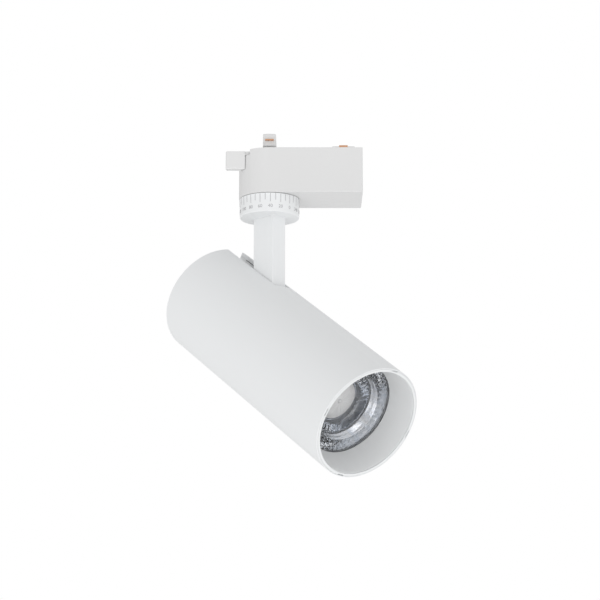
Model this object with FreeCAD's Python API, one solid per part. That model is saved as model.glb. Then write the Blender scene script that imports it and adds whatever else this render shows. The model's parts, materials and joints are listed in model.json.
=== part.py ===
import FreeCAD, Part
import math
import os

# Track spotlight: a cylinder head on a rectangular stem, hung from a track adapter by a dial that turns.
# Millimetres, +Z up, X along the track. The origin is on the adapter's top face, on the axis that
# the latch, the dial and the stem share.

# Adapter
ADAPTER_HALF_WIDTH = 21.5
ADAPTER_END_X = 65.0
ADAPTER_HEIGHT = 32.2
ADAPTER_WALL = 2.2
ADAPTER_FLOOR = 2.5
CORNER_ROUND = 1.2
EDGE_ROUND = 0.5
COVER_GAP = 0.15
COVER_THICK = 2.5
BOSS_R = 3.0
SCREW_R = 1.25
SCREW_HEAD_R = 2.2
SCREW_HEAD_H = 1.4
SCREW_LENGTH = 9.0
NEAR_SCREW_X = 4.0
NEAR_SCREW_Y = 15.0
FAR_SCREW_X = 58.3
FAR_SCREW_Y = 14.3

# Latch
LEVER_TOP = -0.6
LEVER_BOTTOM = -3.5
LEVER_R = 17.5
LEVER_ROOM_R = 17.9
LEVER_ROOM_DEPTH = 4.0
NOTCH_FROM = 112.0
NOTCH_TO = 231.0
TAB_OUTER_X = -30.55
TAB_NEAR_Y = -14.0
TAB_FAR_Y = -8.5
TAB_BOTTOM = -13.5
TAB_INNER_R = 22.1
TAB_ROUND = 1.0
ARM_NEAR_Y = -13.2
ARM_FAR_Y = -9.2
ROTOR_R = 4.7
ROTOR_NECK_R = 3.5
ROTOR_FOOT_R = 4.3
WING_BOTTOM = 3.6
WING_TOP = 12.5
WING_REACH = 13.5
WING_HALF_WIDTH = 4.6
BLADE_REACH = 15.2
BLADE_HALF_WIDTH = 3.0
BLADE_BOTTOM = 7.2
BLADE_THICK = 0.8
BLADE_ROOT = 8.5
CLIP_R = 8.0
CLIP_THICK = 1.0

# Guide at the adapter's square end
GUIDE_X0 = 44.0
GUIDE_X1 = 60.0
GUIDE_HALF_WIDTH = 4.8
GUIDE_TOP = 6.0
GUIDE_FLANGE = 2.0
GROUND_STRIP = 0.4
GROUND_BOTTOM = 2.6

# Driver inside the adapter
PLATE_HALF_LENGTH = 12.5
PLATE_HALF_WIDTH = 11.0
PLATE_TOP = -10.5
PLATE_THICK = 1.2
PEG_R = 1.5
PEG_X = 10.0
BOARD_X0 = 14.0
BOARD_X1 = 54.0
BOARD_HALF_WIDTH = 15.5
BOARD_BOTTOM = -27.4
BOARD_THICK = 1.6
BOARD_SCREWS = ((17.5, -12.0), (50.5, 12.0))
BOARD_SCREW_LENGTH = 3.2
CORE_X0 = 30.0
CORE_X1 = 45.0
CORE_HALF_WIDTH = 7.5
CORE_HEIGHT = 12.6
CORE_LEG = 3.0
COIL_HALF_WIDTH = 9.5
COIL_GAP = 0.2
CAPACITOR_X = 24.0
CAPACITOR_Y = 9.0
LARGE_CAPACITOR = (4.0, 12.0)
SMALL_CAPACITOR = (3.15, 10.5)
TERMINAL_X = 50.0
TERMINAL_HALF_LENGTH = 3.5
TERMINAL_HALF_WIDTH = 6.0
TERMINAL_HEIGHT = 8.0
TERMINAL_Y = 3.0
TERMINAL_HOLE_R = 1.2
OUTPUT_LEAD_X = 18.0
OUTPUT_LEAD_Z = -16.0
LEAD_R = 0.8
LEAD_OFFSET = 1.1
LEAD_BEND = 3.0

# Swivel joint
SPIGOT_R = 4.0
SPIGOT_BORE_R = 2.5
SPIGOT_TOP = -21.5
SPIGOT_BOTTOM = -57.0
RUNNING_GAP = 0.05
FIXED_GAP = 0.02
BUSH_R = 6.0
BUSH_FLANGE_R = 10.0
BUSH_FLANGE = 1.2
WASHER_THICK = 1.0
WASHER_R = 8.0
NUT_ACROSS_FLATS = 13.0
NUT_HEIGHT = 4.0
STOP_PIN_R = 1.5
STOP_PIN_AT = 15.5
STOP_PIN_BOTTOM = -36.0
STOP_RIB_HALF = 0.8

# Dial
DIAL_TOP = -32.6
DIAL_BOTTOM = -45.8
DIAL_TOP_R = 21.1
DIAL_BOTTOM_R = 20.8
DIAL_INNER_R = 18.4
DIAL_FLOOR = 3.0
DIAL_BOSS_R = 10.5
DIAL_ROUND = 0.7
DIAL_SCREW_U = 7.0
DIAL_SCREW_HEAD_R = 2.2
DIAL_SCREW_HEAD_H = 2.0
DIAL_SCREW_LENGTH = 10.0

# Stem
STEM_HALF_LENGTH = 10.0
STEM_HALF_WIDTH = 6.05
STEM_ROUND = 0.5
LEAD_BORE_R = 2.5
LEAD_EXIT_Z = -92.0

# How the head hangs at rest
AZIMUTH = -47.4
TILT = 34.7
PIVOT_Z = -98.33

# Head, in its own directions: x forward along the tube, y across, z up, from the tilt pivot
TUBE_R = 40.0
TUBE_WALL = 2.5
TUBE_LENGTH = 189.0
PIVOT_BACK = 138.5
PIVOT_ABOVE = 30.57
SLOT_HALF_WIDTH = 6.7
SLOT_FRONT_X = 10.8
SLOT_ROUND = 1.2
CHANNEL_DEPTH = 10.5
RIM_ROUND = 0.4
CAP_THICK = 7.0
CAP_GAP = 0.1

# Pivot inside the head
BRACKET_WALL = 2.0
BRACKET_FRONT_X = 20.0
BRACKET_TOP_Z = 5.8
BRACKET_FLANGE = 3.0
BRACKET_FLANGE_HALF = 16.0
BRACKET_FLANGE_LOW = -20.0
BRACKET_FLANGE_HIGH = 3.0
BRACKET_SCREW_Y = 12.0
BRACKET_SCREW_Z = -5.0
PIVOT_R = 2.5
PIVOT_HEAD_R = 4.5
PIVOT_HEAD = 2.5
PIVOT_NUT_FLATS = 8.0
PIVOT_NUT = 3.2
FRICTION_R = 5.6
FRICTION_THICK = 0.5
GROMMET_X = -30.0
GROMMET_R = 4.5
GROMMET_BORE_R = 2.8
GROMMET_FLANGE_R = 6.0

# Heat sink and its tie posts
SINK_REAR_X = 25.0
SINK_BASE_X = 68.0
SINK_FRONT_X = 74.0
SINK_R = 37.3
FIN_R = 36.0
FIN_PITCH = 8.0
FIN_HALF = 1.1
FIN_COUNT = 8
POST_R = 2.5
POST_Y = 24.0
POST_ABOVE = 18.0
CAP_SCREW_R = 1.5
CAP_SCREW_HEAD_R = 2.75
CAP_SCREW_HEAD_H = 3.0
CAP_SCREW_LENGTH = 9.0
GRUB_ANGLES = (100.0, 160.0)
LEAD_LOW = 29.0

# Light source
LED_HALF = 9.5
LED_THICK = 1.2
EMITTER_R = 7.0
EMITTER_THICK = 0.5
HOLDER_R = 22.0
HOLDER_BORE_R = 11.6
HOLDER_THICK = 4.5
HOLDER_SCREW_AT = 16.0
HOLDER_COUNTERBORE = 2.0

# Optic, as (distance back from the front rim, radius)
BEZEL_INNER_R = 37.4
BEZEL_OUTER_R = 39.1
BEZEL_FACE = 1.2
BEZEL_SKIRT = 3.2
BEZEL_SKIRT_R = 38.5
BEZEL_SEAT_R = 39.25
BEZEL_SEAT = 3.4
NOTCH_COUNT = 4
NOTCH_START = -5.0
NOTCH_HALF = 2.6
NOTCH_DEPTH = 0.8
CONE_BACK = 20.2
CONE_BACK_R = 32.4
CONE_WALL = 1.0
CLAMP_R = 37.2
LENS_FLANGE_R = 36.0
LENS_FRONT = 20.5
LENS_FLANGE = 1.5
LENS_STEP = 21.6
LENS_STEP_R = 23.5
LENS_RECESS = 30.0
LENS_RECESS_R = 23.1
LENS_INNER_RING = 31.2
LENS_INNER_RING_R = 17.0
LENS_DOME_EDGE = 34.6
LENS_DOME_R = 14.4
LENS_DOME_TOP = 31.6
LENS_REAR = 62.0
LENS_REAR_R = 8.8
LENS_CONE_FRONT = 24.0
LENS_CONE_R = 31.4
LENS_CAVITY = 51.0
LENS_CAVITY_R = 5.8
REFLECTOR_GAP = 0.4
REFLECTOR_WALL = 1.2
REFLECTOR_BACK = 58.0
OPTIC_HOUSING_WALL = 1.5

FLOOR_TOP = ADAPTER_FLOOR - ADAPTER_HEIGHT
COVER_LOW = -LEVER_ROOM_DEPTH - COVER_THICK
DIAL_FLOOR_TOP = DIAL_BOTTOM + DIAL_FLOOR
BUSH_TOP = FLOOR_TOP + BUSH_FLANGE
WASHER_TOP = BUSH_TOP + FIXED_GAP + WASHER_THICK
BOARD_TOP = BOARD_BOTTOM + BOARD_THICK
FRONT_X = PIVOT_BACK
REAR_X = PIVOT_BACK - TUBE_LENGTH
AXIS_Z = -PIVOT_ABOVE
TUBE_INNER_R = TUBE_R - TUBE_WALL
CAP_FRONT_X = REAR_X + CAP_THICK
GRUB_X = REAR_X + CAP_THICK / 2
LED_FRONT_X = SINK_FRONT_X + LED_THICK
HOLDER_FRONT_X = LED_FRONT_X + HOLDER_THICK


def vec(x, y, z):
    return FreeCAD.Vector(x, y, z)


ORIGIN = vec(0, 0, 0)
UP = vec(0, 0, 1)
FORWARD = vec(1, 0, 0)
ACROSS = vec(0, 1, 0)


def box(x0, x1, y0, y1, z0, z1):
    return Part.makeBox(x1 - x0, y1 - y0, z1 - z0, vec(x0, y0, z0))


def post(radius, z0, z1, x=0.0, y=0.0):
    """Upright cylinder."""
    return Part.makeCylinder(radius, z1 - z0, vec(x, y, z0), UP)


def rod_x(radius, x0, x1, y=0.0, z=0.0):
    return Part.makeCylinder(radius, x1 - x0, vec(x0, y, z), FORWARD)


def rod_y(radius, y0, y1, x=0.0, z=0.0):
    return Part.makeCylinder(radius, y1 - y0, vec(x, y0, z), ACROSS)


def ring(outer, inner, z0, z1):
    """Upright ring about the swivel axis."""
    return post(outer, z0, z1).cut(post(inner, z0, z1))


def hexagon(across_flats, z0, z1):
    """Upright hexagonal prism about the Z axis."""
    radius = across_flats / math.sqrt(3)
    corners = []
    for side in range(7):
        angle = math.radians(60 * side)
        corners.append(vec(radius * math.cos(angle), radius * math.sin(angle), z0))
    return Part.Face(Part.makePolygon(corners)).extrude(vec(0, 0, z1 - z0))


def sector(radius, z0, z1, start, end):
    """Upright slice of a cylinder between two angles from +X."""
    wedge = Part.makeCylinder(radius, z1 - z0, vec(0, 0, z0), UP, end - start)
    wedge.rotate(ORIGIN, UP, start)
    return wedge


def rounded(shape, radius, test):
    """Fillet the edges whose middle point passes a test."""
    chosen = []
    for edge in shape.Edges:
        middle = edge.valueAt((edge.FirstParameter + edge.LastParameter) / 2)
        if test(middle, edge):
            chosen.append(edge)
    return shape.makeFillet(radius, chosen)


def lead(points, radius, bend):
    """A wire through the points, with each corner rounded to the bend radius."""
    edges = []
    start = points[0]
    for before, corner, after in zip(points, points[1:], points[2:]):
        inward = (before - corner).normalize()
        outward = (after - corner).normalize()
        half = inward.getAngle(outward) / 2
        entry = corner + inward * (bend / math.tan(half))
        leave = corner + outward * (bend / math.tan(half))
        bisector = (inward + outward).normalize()
        middle = corner + bisector * (bend / math.sin(half) - bend)
        edges.append(Part.LineSegment(start, entry).toShape())
        edges.append(Part.Arc(entry, middle, leave).toShape())
        start = leave
    edges.append(Part.LineSegment(start, points[-1]).toShape())
    section = Part.Wire(Part.makeCircle(radius, points[0], points[1] - points[0]))
    return Part.Wire(edges).makePipeShell([section], True, True)


def pair_of_leads(route, offset, bend):
    """Two leads side by side; the route is a list of (x, z) points."""
    wires = []
    for y in (-offset, offset):
        points = [vec(x, y, z) for x, z in route]
        wires.append(lead(points, LEAD_R, bend))
    return Part.makeCompound(wires)


# ---------------------------------------------------------------- adapter


def adapter_plan(margin, z0, z1):
    """The adapter's plan drawn in by a margin: half round about the swivel axis, square at the end."""
    radius = ADAPTER_HALF_WIDTH - margin
    end = ADAPTER_END_X - margin
    arc = Part.Arc(vec(0, radius, z0), vec(-radius, 0, z0), vec(0, -radius, z0)).toShape()
    corners = [vec(0, -radius, z0), vec(end, -radius, z0), vec(end, radius, z0), vec(0, radius, z0)]
    outline = Part.Wire([arc] + Part.makePolygon(corners).Edges)
    return Part.Face(outline).extrude(vec(0, 0, z1 - z0))


def cover_screw_places():
    """(x, y, height of the cover's underside) at each cover screw."""
    places = []
    for side in (-1, 1):
        places.append((NEAR_SCREW_X, side * NEAR_SCREW_Y, COVER_LOW))
        places.append((FAR_SCREW_X, side * FAR_SCREW_Y, -COVER_THICK))
    return places


def adapter_housing():
    body = adapter_plan(0, -ADAPTER_HEIGHT, 0)
    body = rounded(body, CORNER_ROUND, lambda p, e: p.x > ADAPTER_END_X - 0.1 and abs(p.y) > 20)
    body = rounded(body, EDGE_ROUND, lambda p, e: p.z < 0.01 - ADAPTER_HEIGHT)
    body = body.cut(adapter_plan(ADAPTER_WALL, FLOOR_TOP, 1))
    for x, y, top in cover_screw_places():
        body = body.fuse(post(BOSS_R, FLOOR_TOP - 1, top, x, y))
    for x, y in BOARD_SCREWS:
        body = body.fuse(post(BOSS_R, FLOOR_TOP - 1, BOARD_BOTTOM, x, y))
    for x, y, top in cover_screw_places():
        body = body.cut(post(SCREW_R + FIXED_GAP, top - SCREW_LENGTH, top, x, y))
    for x, y in BOARD_SCREWS:
        body = body.cut(post(SCREW_R + FIXED_GAP, BOARD_BOTTOM - BOARD_SCREW_LENGTH, BOARD_BOTTOM, x, y))
    body = body.cut(sector(ADAPTER_HALF_WIDTH + 1, -LEVER_ROOM_DEPTH, 1, NOTCH_FROM, NOTCH_TO))
    body = body.cut(post(BUSH_R + FIXED_GAP, -ADAPTER_HEIGHT - 1, 0))
    x, y = stop_pin_place()
    body = body.cut(post(STOP_PIN_R + FIXED_GAP, -ADAPTER_HEIGHT - 1, 0, x, y))
    return body.removeSplitter()


def adapter_cover():
    margin = ADAPTER_WALL + COVER_GAP
    body = adapter_plan(margin, COVER_LOW, 0)
    pocket = adapter_plan(margin + 1, COVER_LOW, -COVER_THICK)
    pocket = pocket.cut(post(LEVER_ROOM_R + ADAPTER_WALL, COVER_LOW, 0))
    body = body.cut(pocket)
    body = body.cut(post(LEVER_ROOM_R, -LEVER_ROOM_DEPTH, 0))
    body = body.cut(sector(ADAPTER_HALF_WIDTH, -LEVER_ROOM_DEPTH, 1, NOTCH_FROM, NOTCH_TO))
    for x in (-PEG_X, PEG_X):
        body = body.fuse(post(PEG_R, PLATE_TOP - PLATE_THICK, COVER_LOW + 0.5, x))
    body = body.cut(post(ROTOR_R + RUNNING_GAP, COVER_LOW, 0))
    for x, y, low in cover_screw_places():
        head_bottom = low + COVER_THICK - SCREW_HEAD_H
        body = body.cut(post(SCREW_R + COVER_GAP, COVER_LOW, 0, x, y))
        body = body.cut(post(SCREW_HEAD_R + COVER_GAP, head_bottom, 0, x, y))
    for x, y in ((FAR_SCREW_X, FAR_SCREW_Y), (FAR_SCREW_X, -FAR_SCREW_Y)):
        body = body.cut(post(BOSS_R + COVER_GAP, COVER_LOW, -COVER_THICK, x, y))
    reach = GUIDE_HALF_WIDTH + FIXED_GAP
    body = body.cut(box(GUIDE_X0 - FIXED_GAP, GUIDE_X1 + FIXED_GAP, -reach, reach, COVER_LOW, 1))
    return body.removeSplitter()


def cover_screws():
    screws = []
    for x, y, low in cover_screw_places():
        head_bottom = low + COVER_THICK - SCREW_HEAD_H
        shank = post(SCREW_R, head_bottom - SCREW_LENGTH + COVER_THICK, head_bottom, x, y)
        screws.append(shank.fuse(post(SCREW_HEAD_R, head_bottom, low + COVER_THICK - 0.1, x, y)))
    return Part.makeCompound(screws)


def guide_block():
    block = box(GUIDE_X0, GUIDE_X1, -GUIDE_HALF_WIDTH, GUIDE_HALF_WIDTH, -COVER_THICK, GUIDE_TOP)
    block = rounded(block, 1.0, lambda p, e: p.z > GUIDE_TOP - 0.01)
    flange_half = GUIDE_HALF_WIDTH + GUIDE_FLANGE
    flange = box(
        GUIDE_X0 - GUIDE_FLANGE,
        GUIDE_X1 + 1,
        -flange_half,
        flange_half,
        -COVER_THICK - GUIDE_FLANGE,
        -COVER_THICK,
    )
    return block.fuse(flange).removeSplitter()


def ground_contact():
    """Spring strip bent over the guide block."""
    centre = (GUIDE_X0 + GUIDE_X1) / 2
    inner = GUIDE_HALF_WIDTH + RUNNING_GAP
    outer = inner + GROUND_STRIP
    inner_top = GUIDE_TOP + RUNNING_GAP
    strip = box(centre - 3, centre + 3, -outer, outer, GROUND_BOTTOM, inner_top + GROUND_STRIP)
    return strip.cut(box(centre - 4, centre + 4, -inner, inner, GROUND_BOTTOM - 1, inner_top))


def contact_plate():
    """Board under the latch that its sliding contacts press on."""
    low = PLATE_TOP - PLATE_THICK
    plate = box(-PLATE_HALF_LENGTH, PLATE_HALF_LENGTH, -PLATE_HALF_WIDTH, PLATE_HALF_WIDTH, low, PLATE_TOP)
    for x in (-PEG_X, PEG_X):
        plate = plate.cut(post(PEG_R + FIXED_GAP, low, PLATE_TOP, x))
    return plate


def driver_board():
    board = box(BOARD_X0, BOARD_X1, -BOARD_HALF_WIDTH, BOARD_HALF_WIDTH, BOARD_BOTTOM, BOARD_TOP)
    for x, y in BOARD_SCREWS:
        board = board.cut(post(SCREW_R + COVER_GAP, BOARD_BOTTOM, BOARD_TOP, x, y))
    return board


def board_screws():
    screws = []
    for x, y in BOARD_SCREWS:
        shank = post(SCREW_R, BOARD_BOTTOM - BOARD_SCREW_LENGTH + 1, BOARD_TOP, x, y)
        screws.append(shank.fuse(post(SCREW_HEAD_R, BOARD_TOP, BOARD_TOP + SCREW_HEAD_H, x, y)))
    return Part.makeCompound(screws)


def transformer_core():
    """Ferrite frame with a window for the coil."""
    half = CORE_HALF_WIDTH
    core = box(CORE_X0, CORE_X1, -half, half, BOARD_TOP, BOARD_TOP + CORE_HEIGHT)
    low, high = BOARD_TOP + CORE_LEG, BOARD_TOP + CORE_HEIGHT - CORE_LEG
    return core.cut(box(CORE_X0 + CORE_LEG, CORE_X1 - CORE_LEG, -half, half, low, high))


def transformer_coil():
    inset = CORE_LEG + COIL_GAP
    low, high = BOARD_TOP + inset, BOARD_TOP + CORE_HEIGHT - inset
    coil = box(CORE_X0 + inset, CORE_X1 - inset, -COIL_HALF_WIDTH, COIL_HALF_WIDTH, low, high)
    return rounded(coil, 0.8, lambda p, e: abs(p.y) > COIL_HALF_WIDTH - 0.01)


def driver_capacitors():
    cans = []
    for (radius, height), y in ((LARGE_CAPACITOR, -CAPACITOR_Y), (SMALL_CAPACITOR, CAPACITOR_Y)):
        can = post(radius, BOARD_TOP, BOARD_TOP + height, CAPACITOR_X, y)
        cans.append(rounded(can, 0.4, lambda p, e: p.z > BOARD_TOP + 9 and e.Closed))
    return Part.makeCompound(cans)


def terminal_block():
    x0, x1 = TERMINAL_X - TERMINAL_HALF_LENGTH, TERMINAL_X + TERMINAL_HALF_LENGTH
    top = BOARD_TOP + TERMINAL_HEIGHT
    block = box(x0, x1, -TERMINAL_HALF_WIDTH, TERMINAL_HALF_WIDTH, BOARD_TOP, top)
    for y in (-TERMINAL_Y, TERMINAL_Y):
        block = block.cut(post(TERMINAL_HOLE_R, BOARD_TOP + 2, top, TERMINAL_X, y))
    return block


def supply_leads():
    """From the contact plate over the transformer to the terminal block."""
    height = PLATE_TOP - PLATE_THICK / 2
    route = [(PLATE_HALF_LENGTH, height), (TERMINAL_X, height), (TERMINAL_X, BOARD_TOP + 3)]
    return pair_of_leads(route, TERMINAL_Y, LEAD_BEND)


def output_leads():
    """From the driver board to the mouth of the spigot."""
    x, z = OUTPUT_LEAD_X, OUTPUT_LEAD_Z
    route = [(x, BOARD_TOP), (x, z), (0, z), (0, SPIGOT_TOP + 0.5)]
    return pair_of_leads(route, LEAD_OFFSET, LEAD_BEND)


def swivel_bush():
    flange = post(BUSH_FLANGE_R, FLOOR_TOP, BUSH_TOP)
    sleeve = post(BUSH_R, -ADAPTER_HEIGHT, FLOOR_TOP)
    return flange.fuse(sleeve).cut(post(SPIGOT_R + RUNNING_GAP, -ADAPTER_HEIGHT, BUSH_TOP))


def thrust_washer():
    inner = SPIGOT_R + RUNNING_GAP
    return ring(DIAL_BOSS_R, inner, DIAL_TOP + RUNNING_GAP, -ADAPTER_HEIGHT)


def stop_pin_place():
    """The pin stands opposite the way that the head points at rest."""
    angle = math.radians(AZIMUTH + 180)
    return STOP_PIN_AT * math.cos(angle), STOP_PIN_AT * math.sin(angle)


def stop_pin():
    x, y = stop_pin_place()
    return post(STOP_PIN_R, STOP_PIN_BOTTOM, FLOOR_TOP + 1, x, y)


# ---------------------------------------------------------------- latch


def lock_lever():
    """Disc under the adapter's top with a finger tab that hangs outside its round end."""
    disc = post(LEVER_R, LEVER_BOTTOM, LEVER_TOP)
    tab = box(TAB_OUTER_X, -10, TAB_NEAR_Y, TAB_FAR_Y, TAB_BOTTOM, LEVER_TOP)
    tab = rounded(tab, TAB_ROUND, lambda p, e: p.x < TAB_OUTER_X + 2 or p.z < TAB_BOTTOM + 0.01)
    tab = tab.cut(post(TAB_INNER_R, TAB_BOTTOM, LEVER_TOP))
    arm = box(-24, -8, ARM_NEAR_Y, ARM_FAR_Y, LEVER_BOTTOM, LEVER_TOP)
    body = disc.fuse(tab).fuse(arm)
    return body.cut(post(ROTOR_R + FIXED_GAP, LEVER_BOTTOM, LEVER_TOP)).removeSplitter()


def lock_rotor():
    """Post through the lever with a cross wing above that turns under the track's lips."""
    wing = box(-WING_HALF_WIDTH, WING_HALF_WIDTH, -WING_REACH, WING_REACH, WING_BOTTOM, WING_TOP)
    wing = wing.common(post(WING_REACH, WING_BOTTOM, WING_TOP))
    wing = rounded(wing, 1.0, lambda p, e: p.z > WING_TOP - 0.01)
    body = wing.fuse(post(ROTOR_R, COVER_LOW - RUNNING_GAP, WING_BOTTOM))
    body = body.fuse(post(ROTOR_NECK_R, COVER_LOW - CLIP_THICK - 0.2, COVER_LOW))
    body = body.fuse(post(ROTOR_FOOT_R, COVER_LOW - CLIP_THICK - 1.2, COVER_LOW - CLIP_THICK - 0.2))
    slot_top = BLADE_BOTTOM + BLADE_THICK + FIXED_GAP
    slot_half = BLADE_HALF_WIDTH + FIXED_GAP
    for side in (-1, 1):
        y0, y1 = sorted((side * (BLADE_ROOT - FIXED_GAP), side * (WING_REACH + 1)))
        body = body.cut(box(-slot_half, slot_half, y0, y1, BLADE_BOTTOM - FIXED_GAP, slot_top))
    return body.removeSplitter()


def contact_blades():
    blades = []
    for side in (-1, 1):
        y0, y1 = sorted((side * BLADE_ROOT, side * BLADE_REACH))
        top = BLADE_BOTTOM + BLADE_THICK
        blades.append(box(-BLADE_HALF_WIDTH, BLADE_HALF_WIDTH, y0, y1, BLADE_BOTTOM, top))
    return Part.makeCompound(blades)


def rotor_clip():
    """Open spring clip in the groove of the rotor's foot."""
    top = COVER_LOW - 0.1
    clip = ring(CLIP_R, ROTOR_NECK_R + FIXED_GAP, top - CLIP_THICK, top)
    half_mouth = ROTOR_NECK_R - 0.8
    return clip.cut(box(0, CLIP_R + 1, -half_mouth, half_mouth, top - CLIP_THICK, top))


# ---------------------------------------------------------------- dial and stem, in the stem's directions


def dial():
    height = DIAL_TOP - DIAL_BOTTOM
    body = Part.makeCone(DIAL_BOTTOM_R, DIAL_TOP_R, height, vec(0, 0, DIAL_BOTTOM))
    body = rounded(body, DIAL_ROUND, lambda p, e: p.z < DIAL_BOTTOM + 0.01)
    body = body.cut(ring(DIAL_INNER_R, DIAL_BOSS_R, DIAL_FLOOR_TOP, DIAL_TOP))
    low, high = DIAL_FLOOR_TOP - 1, DIAL_TOP - 1
    body = body.fuse(box(DIAL_BOSS_R - 1, DIAL_INNER_R + 1, -STOP_RIB_HALF, STOP_RIB_HALF, low, high))
    body = body.cut(post(SPIGOT_R + FIXED_GAP, DIAL_BOTTOM, DIAL_TOP))
    for u in (-DIAL_SCREW_U, DIAL_SCREW_U):
        body = body.cut(post(SCREW_R + COVER_GAP, DIAL_BOTTOM, DIAL_TOP, u))
        body = body.cut(post(DIAL_SCREW_HEAD_R + COVER_GAP, DIAL_FLOOR_TOP, DIAL_TOP, u))
    return body.removeSplitter()


def dial_screws():
    screws = []
    for u in (-DIAL_SCREW_U, DIAL_SCREW_U):
        shank = post(SCREW_R, DIAL_FLOOR_TOP - DIAL_SCREW_LENGTH, DIAL_FLOOR_TOP, u)
        head = post(DIAL_SCREW_HEAD_R, DIAL_FLOOR_TOP, DIAL_FLOOR_TOP + DIAL_SCREW_HEAD_H, u)
        screws.append(shank.fuse(head))
    return Part.makeCompound(screws)


def swivel_spigot():
    return ring(SPIGOT_R, SPIGOT_BORE_R, SPIGOT_BOTTOM, SPIGOT_TOP)


def swivel_nut():
    nut = hexagon(NUT_ACROSS_FLATS, WASHER_TOP, WASHER_TOP + NUT_HEIGHT)
    return nut.cut(post(SPIGOT_R + FIXED_GAP, WASHER_TOP, WASHER_TOP + NUT_HEIGHT))


def wave_washer():
    return ring(WASHER_R, SPIGOT_R + 0.3, BUSH_TOP + FIXED_GAP, WASHER_TOP)


def stem():
    bar = box(-STEM_HALF_LENGTH, STEM_HALF_LENGTH, -STEM_HALF_WIDTH, STEM_HALF_WIDTH, PIVOT_Z, DIAL_BOTTOM)
    end = rod_y(STEM_HALF_LENGTH, -STEM_HALF_WIDTH, STEM_HALF_WIDTH, 0, PIVOT_Z)
    body = bar.fuse(end).removeSplitter()
    side = STEM_HALF_WIDTH - 0.01
    body = rounded(body, STEM_ROUND, lambda p, e: abs(p.y) > side and p.z < DIAL_BOTTOM - 0.01)
    body = body.cut(post(LEAD_BORE_R, LEAD_EXIT_Z, DIAL_BOTTOM))
    body = body.cut(post(SPIGOT_R + FIXED_GAP, SPIGOT_BOTTOM, DIAL_BOTTOM))
    body = body.cut(rod_x(LEAD_BORE_R, -STEM_HALF_LENGTH, 0, 0, LEAD_EXIT_Z))
    body = body.cut(Part.makeSphere(LEAD_BORE_R, vec(0, 0, LEAD_EXIT_Z)))
    for u in (-DIAL_SCREW_U, DIAL_SCREW_U):
        body = body.cut(post(SCREW_R + FIXED_GAP, DIAL_FLOOR_TOP - DIAL_SCREW_LENGTH - 1, DIAL_BOTTOM, u))
    return body.cut(rod_y(PIVOT_R + RUNNING_GAP, -STEM_HALF_WIDTH, STEM_HALF_WIDTH, 0, PIVOT_Z))


def stem_leads():
    route = [(0, SPIGOT_TOP - 0.5), (0, LEAD_EXIT_Z), (-STEM_HALF_LENGTH, LEAD_EXIT_Z)]
    return pair_of_leads(route, LEAD_OFFSET, LEAD_BEND)


# ---------------------------------------------------------------- head, in its own directions


def turned(outline):
    """Solid turned about the head's axis from (distance back from the rim, radius) points."""
    points = [vec(FRONT_X - back, 0, AXIS_Z + radius) for back, radius in outline]
    face = Part.Face(Part.makePolygon(points + points[:1]))
    return face.revolve(vec(0, 0, AXIS_Z), FORWARD, 360)


def disc(radius, x0, x1):
    """Cylinder on the head's axis."""
    return rod_x(radius, x0, x1, 0, AXIS_Z)


def around(angle, radius):
    """(y, z) of a place round the head's axis; the angle is from the top, towards +Y."""
    turn = math.radians(angle)
    return radius * math.sin(turn), AXIS_Z + radius * math.cos(turn)


def tie_post_places():
    return [(y, AXIS_Z + up) for y in (-POST_Y, POST_Y) for up in (-POST_ABOVE, POST_ABOVE)]


def head_tube():
    body = disc(TUBE_R, REAR_X, FRONT_X)
    body = rounded(body, RIM_ROUND, lambda p, e: p.x > FRONT_X - 0.01)
    body = body.cut(disc(TUBE_INNER_R, REAR_X, FRONT_X))
    body = body.cut(disc(BEZEL_SEAT_R, FRONT_X - BEZEL_SEAT, FRONT_X))
    slot = box(REAR_X - 1, SLOT_FRONT_X, -SLOT_HALF_WIDTH, SLOT_HALF_WIDTH, AXIS_Z, AXIS_Z + TUBE_R + 1)
    side = SLOT_HALF_WIDTH - 0.01
    slot = rounded(slot, SLOT_ROUND, lambda p, e: p.x > SLOT_FRONT_X - 0.01 and abs(p.y) > side)
    body = body.cut(slot)
    for angle in GRUB_ANGLES:
        body = body.cut(grub_screw(angle, CAP_SCREW_R + FIXED_GAP))
    return body


def grub_screw(angle, radius):
    """Radial screw through the tube into the rear cap."""
    y, z = around(angle, TUBE_R - 7)
    direction = vec(0, y, z - AXIS_Z)
    return Part.makeCylinder(radius, 6.5, vec(GRUB_X, y, z), direction)


def tube_grub_screws():
    screws = []
    for angle in GRUB_ANGLES:
        y, z = around(angle, TUBE_R - 2.5)
        socket = Part.makeCylinder(0.8, 3, vec(GRUB_X, y, z), vec(0, y, z - AXIS_Z))
        screws.append(grub_screw(angle, CAP_SCREW_R).cut(socket))
    return Part.makeCompound(screws)


def rear_cap():
    body = disc(TUBE_INNER_R - CAP_GAP, REAR_X, CAP_FRONT_X)
    slot = box(REAR_X - 1, CAP_FRONT_X + 1, -SLOT_HALF_WIDTH, SLOT_HALF_WIDTH, -CHANNEL_DEPTH, 60)
    body = body.cut(slot)
    for y, z in tie_post_places() + bracket_screw_places():
        body = body.cut(rod_x(CAP_SCREW_R + COVER_GAP, REAR_X, CAP_FRONT_X, y, z))
        body = body.cut(rod_x(CAP_SCREW_HEAD_R + COVER_GAP, REAR_X, REAR_X + CAP_SCREW_HEAD_H + 0.4, y, z))
    for angle in GRUB_ANGLES:
        body = body.cut(grub_screw(angle, CAP_SCREW_R + FIXED_GAP))
    return body


def cap_screws_at(places, length):
    """Socket screws whose heads lie in the rear cap's counterbores."""
    head_back = REAR_X + 0.4
    head_front = head_back + CAP_SCREW_HEAD_H
    screws = []
    for y, z in places:
        head = rod_x(CAP_SCREW_HEAD_R, head_back, head_front, y, z)
        screw = head.fuse(rod_x(CAP_SCREW_R, head_front, head_front + length, y, z))
        screws.append(screw.cut(rod_x(1.4, head_back, head_back + 1.8, y, z)))
    return Part.makeCompound(screws)


def rear_cap_screws():
    return cap_screws_at(tie_post_places(), CAP_SCREW_LENGTH)


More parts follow.
